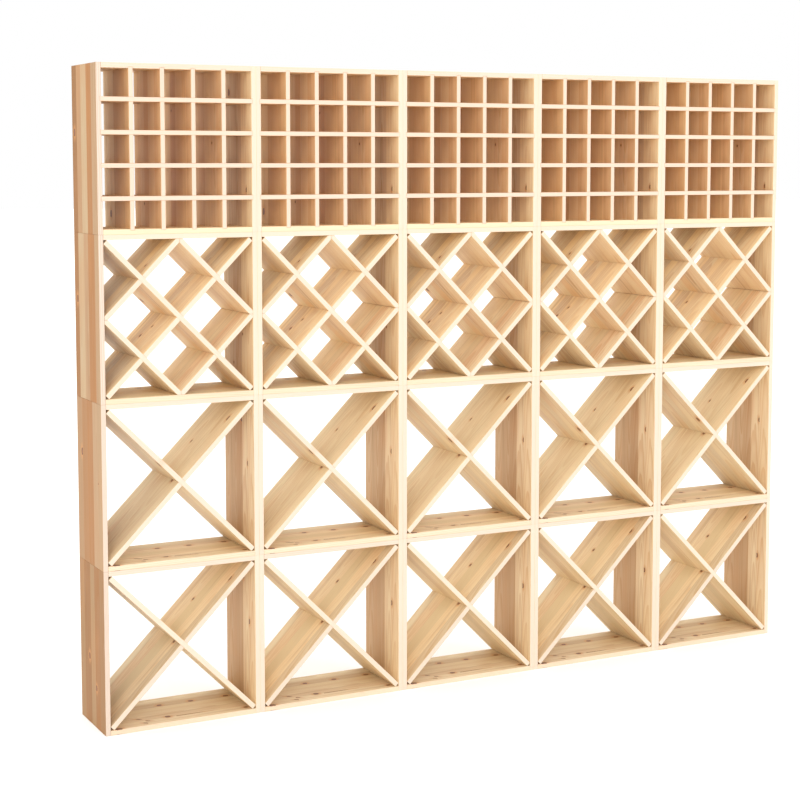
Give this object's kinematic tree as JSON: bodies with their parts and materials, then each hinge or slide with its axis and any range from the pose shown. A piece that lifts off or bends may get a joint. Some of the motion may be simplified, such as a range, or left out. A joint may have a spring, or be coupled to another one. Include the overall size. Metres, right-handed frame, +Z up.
{
  "type": "wine rack",
  "caption": "Wall-sized modular wine rack of open pine box modules with pigeon-hole, diamond and crossed-diagonal inserts, open at front and back.",
  "frame": {"origin": "on the floor, midway along the width and the depth of the whole rack", "axes": "+Z up, +X to the right along the rack's width, +Y towards the wall; the fronts face -Y"},
  "size_m": [2.6, 0.25, 2.08],
  "materials": {
    "pine_board": "planed natural pine, matt",
    "beech_dowel": "turned beech, raw"
  },
  "bodies": {
    "root": {"lower_cross_case_1": "pine_board", "lower_cross_falling_board_1": "pine_board", "lower_cross_rising_board_1": "pine_board", "lower_cross_case_2": "pine_board", "lower_cross_falling_board_2": "pine_board", "lower_cross_rising_board_2": "pine_board", "lower_cross_case_3": "pine_board", "lower_cross_falling_board_3": "pine_board", "lower_cross_rising_board_3": "pine_board", "lower_cross_case_4": "pine_board", "lower_cross_falling_board_4": "pine_board", "lower_cross_rising_board_4": "pine_board", "lower_cross_case_5": "pine_board", "lower_cross_falling_board_5": "pine_board", "lower_cross_rising_board_5": "pine_board", "lower_cross_case_dowels": "beech_dowel", "upper_cross_case_1": "pine_board", "upper_cross_falling_board_1": "pine_board", "upper_cross_rising_board_1": "pine_board", "upper_cross_case_2": "pine_board", "upper_cross_falling_board_2": "pine_board", "upper_cross_rising_board_2": "pine_board", "upper_cross_case_3": "pine_board", "upper_cross_falling_board_3": "pine_board", "upper_cross_rising_board_3": "pine_board", "upper_cross_case_4": "pine_board", "upper_cross_falling_board_4": "pine_board", "upper_cross_rising_board_4": "pine_board", "upper_cross_case_5": "pine_board", "upper_cross_falling_board_5": "pine_board", "upper_cross_rising_board_5": "pine_board", "upper_cross_case_dowels": "beech_dowel", "diamond_case_1": "pine_board", "diamond_insert_1": "pine_board", "diamond_case_2": "pine_board", "diamond_insert_2": "pine_board", "diamond_case_3": "pine_board", "diamond_insert_3": "pine_board", "diamond_case_4": "pine_board", "diamond_insert_4": "pine_board", "diamond_case_5": "pine_board", "diamond_insert_5": "pine_board", "diamond_case_dowels": "beech_dowel", "grid_case_1": "pine_board", "grid_insert_1": "pine_board", "grid_case_2": "pine_board", "grid_insert_2": "pine_board", "grid_case_3": "pine_board", "grid_insert_3": "pine_board", "grid_case_4": "pine_board", "grid_insert_4": "pine_board", "grid_case_5": "pine_board", "grid_insert_5": "pine_board", "grid_case_dowels": "beech_dowel", "stacking_dowels": "beech_dowel", "side_dowels": "beech_dowel"}
  },
  "joints": []
}
